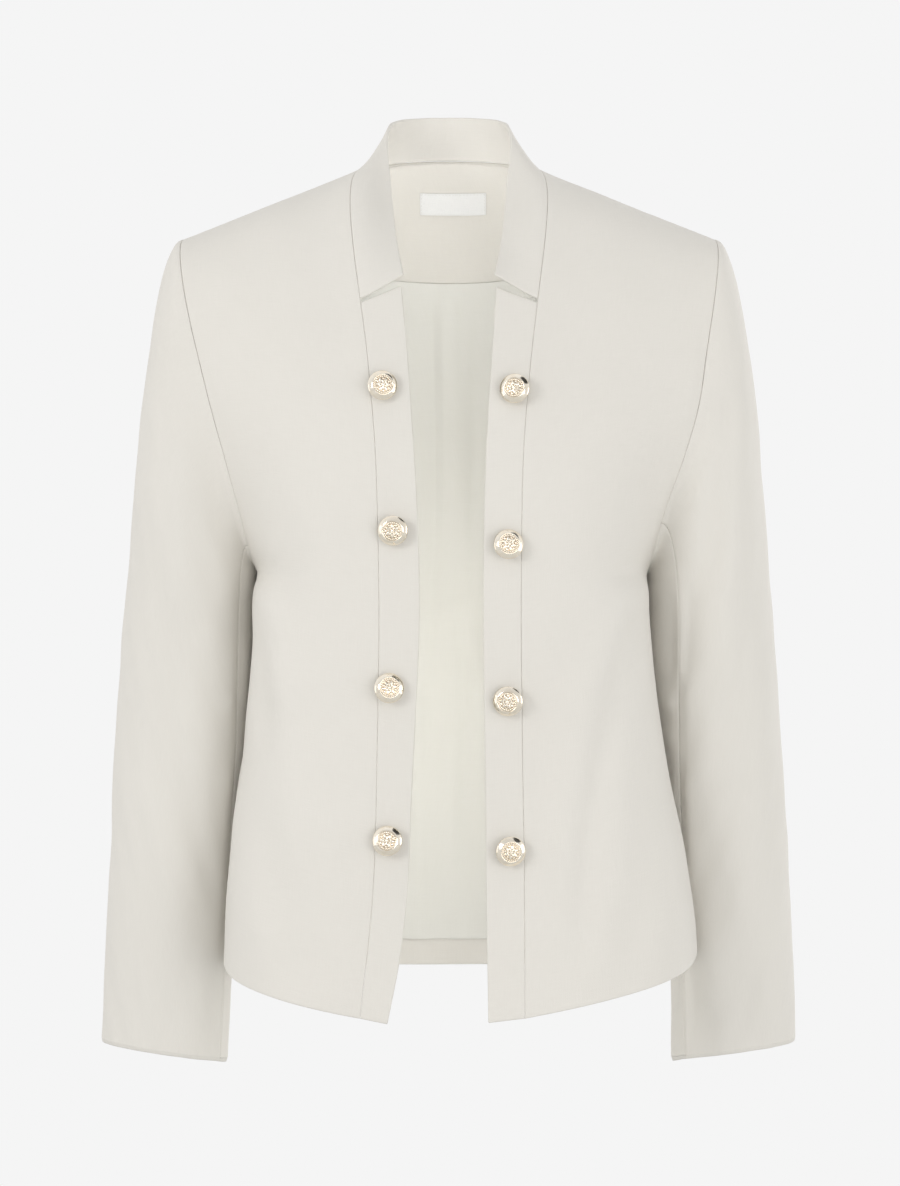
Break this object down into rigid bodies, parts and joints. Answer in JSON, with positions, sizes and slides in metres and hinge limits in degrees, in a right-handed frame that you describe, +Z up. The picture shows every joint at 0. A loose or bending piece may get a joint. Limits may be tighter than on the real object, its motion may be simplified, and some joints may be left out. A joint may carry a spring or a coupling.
{
  "type": "officer jacket",
  "caption": "Cropped officer jacket hanging open as if worn: notched stand collar, buttoned front bands, set-in two-piece sleeves and a front hem that drops to points.",
  "frame": {"origin": "centre of the back neck seam, where the wearer's neck and shoulders carry the jacket", "axes": "+Z up along the wearer's spine, the fronts face -Y, +X to the wearer's left"},
  "size_m": [0.5206, 0.2236, 0.7093],
  "materials": {
    "cream_suiting": "matt plain-weave cream suiting",
    "cream_lining": "smooth, slightly yellower cream lining",
    "white_label": "woven white label, left bare",
    "pale_gold": "polished pale gold metal"
  },
  "bodies": {
    "root": {"front_right": "cream_suiting", "front_left": "cream_suiting", "back": "cream_suiting", "band_right": "cream_suiting", "band_left": "cream_suiting", "collar": "cream_suiting", "sleeve_upper_right": "cream_suiting", "sleeve_under_right": "cream_suiting", "sleeve_upper_left": "cream_suiting", "sleeve_under_left": "cream_suiting", "back_neck_facing": "cream_suiting", "back_lining": "cream_lining", "neck_label": "white_label", "button_right_1": "pale_gold", "button_right_2": "pale_gold", "button_right_3": "pale_gold", "button_right_4": "pale_gold", "button_left_1": "pale_gold", "button_left_2": "pale_gold", "button_left_3": "pale_gold", "button_left_4": "pale_gold"}
  },
  "joints": []
}
